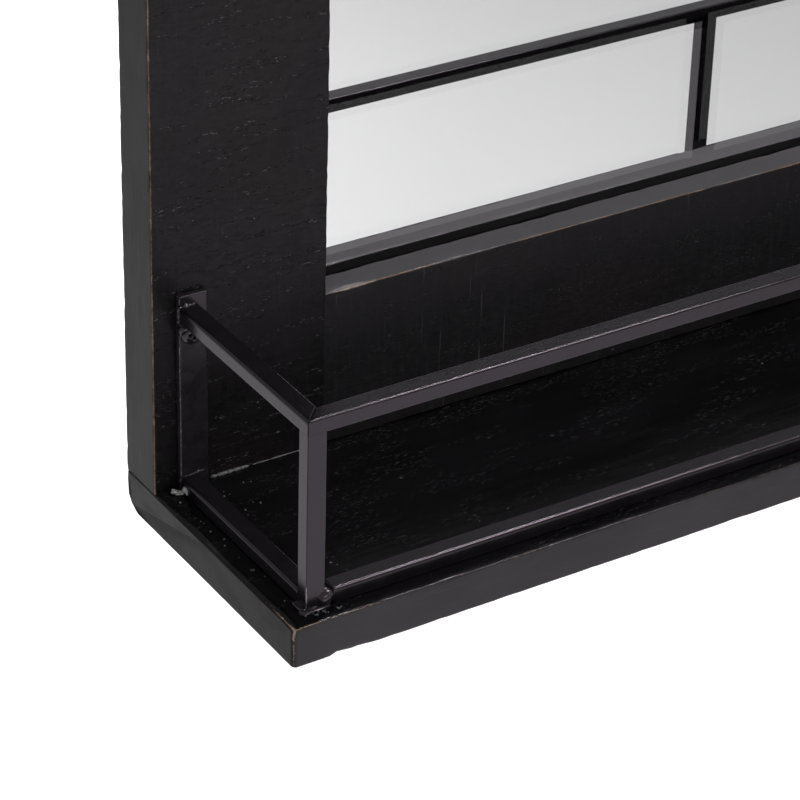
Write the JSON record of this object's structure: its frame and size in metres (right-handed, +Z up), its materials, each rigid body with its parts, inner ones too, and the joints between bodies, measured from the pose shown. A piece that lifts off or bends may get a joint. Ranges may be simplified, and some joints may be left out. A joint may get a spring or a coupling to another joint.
{
  "type": "wall mirror with gallery shelf",
  "caption": "Framed wall mirror with a projecting shelf board, a welded metal gallery round the shelf, and D-ring hangers on its back.",
  "frame": {"origin": "on the wall plane, midway between the two wall hooks that the raised D rings hang on", "axes": "+X to the viewer's right along the shelf, +Y into the wall, +Z up"},
  "size_m": [0.61, 0.117, 0.762],
  "materials": {
    "black_wood": "rough-sawn, black stain, rubbed through at the edges",
    "black_metal": "satin black paint over welded steel",
    "weld_metal": "painted weld, brushed thin",
    "mirror": "silvered glass",
    "fibreboard": "raw fibreboard",
    "beech": "raw turned beech",
    "zinc": "bright zinc plate",
    "yellow_zinc": "yellow zinc plate",
    "black_screw": "black oxide",
    "bumper_rubber": "matt"
  },
  "bodies": {
    "frame": {"left_stile": "black_wood", "right_stile": "black_wood", "top_rail": "black_wood", "bottom_rail": "black_wood", "frame_dowels": "beech", "shelf_board": "black_wood", "shelf_screws": "yellow_zinc", "mirror_glass": "mirror", "backing_board": "fibreboard", "gallery_front_top_rail": "black_metal", "gallery_left_top_rail": "black_metal", "gallery_right_top_rail": "black_metal", "gallery_left_front_post": "black_metal", "gallery_middle_front_post": "black_metal", "gallery_right_front_post": "black_metal", "gallery_left_wall_plate": "black_metal", "gallery_right_wall_plate": "black_metal", "gallery_front_left_bottom_rail": "black_metal", "gallery_front_right_bottom_rail": "black_metal", "gallery_left_bottom_rail": "black_metal", "gallery_right_bottom_rail": "black_metal", "gallery_weld_beads": "weld_metal", "gallery_post_screws": "zinc", "gallery_plate_screws": "black_screw", "turn_button_screws": "yellow_zinc", "left_hanger_strap": "zinc", "right_hanger_strap": "zinc", "hanger_screws": "yellow_zinc", "wall_bumpers": "bumper_rubber"},
    "button_left_upper": {"turn_button_left_upper": "zinc"},
    "button_left_lower": {"turn_button_left_lower": "zinc"},
    "button_right_upper": {"turn_button_right_upper": "zinc"},
    "button_right_lower": {"turn_button_right_lower": "zinc"},
    "button_top": {"turn_button_top": "zinc"},
    "button_bottom": {"turn_button_bottom": "zinc"},
    "ring_left": {"left_d_ring": "zinc"},
    "ring_right": {"right_d_ring": "zinc"}
  },
  "joints": [
    {"name": "left_ring_swing", "type": "hinge", "parent": "frame", "child": "ring_left", "pos_m": [-0.272, -0.00272, -0.016], "axis": [1, 0, 0], "range_deg": [0, 178]},
    {"name": "right_ring_swing", "type": "hinge", "parent": "frame", "child": "ring_right", "pos_m": [0.272, -0.00272, -0.016], "axis": [1, 0, 0], "range_deg": [0, 178]},
    {"name": "left_upper_button_turn", "type": "hinge", "parent": "frame", "child": "button_left_upper", "pos_m": [-0.253, -0.0043, -0.15], "axis": [0, 1, 0], "continuous": true},
    {"name": "left_lower_button_turn", "type": "hinge", "parent": "frame", "child": "button_left_lower", "pos_m": [-0.253, -0.0043, -0.43], "axis": [0, 1, 0], "continuous": true},
    {"name": "right_upper_button_turn", "type": "hinge", "parent": "frame", "child": "button_right_upper", "pos_m": [0.253, -0.0043, -0.15], "axis": [0, 1, 0], "continuous": true},
    {"name": "right_lower_button_turn", "type": "hinge", "parent": "frame", "child": "button_right_lower", "pos_m": [0.253, -0.0043, -0.43], "axis": [0, 1, 0], "continuous": true},
    {"name": "top_button_turn", "type": "hinge", "parent": "frame", "child": "button_top", "pos_m": [0, -0.0043, 0.058], "axis": [0, 1, 0], "continuous": true},
    {"name": "bottom_button_turn", "type": "hinge", "parent": "frame", "child": "button_bottom", "pos_m": [0, -0.0043, -0.592], "axis": [0, 1, 0], "continuous": true}
  ]
}
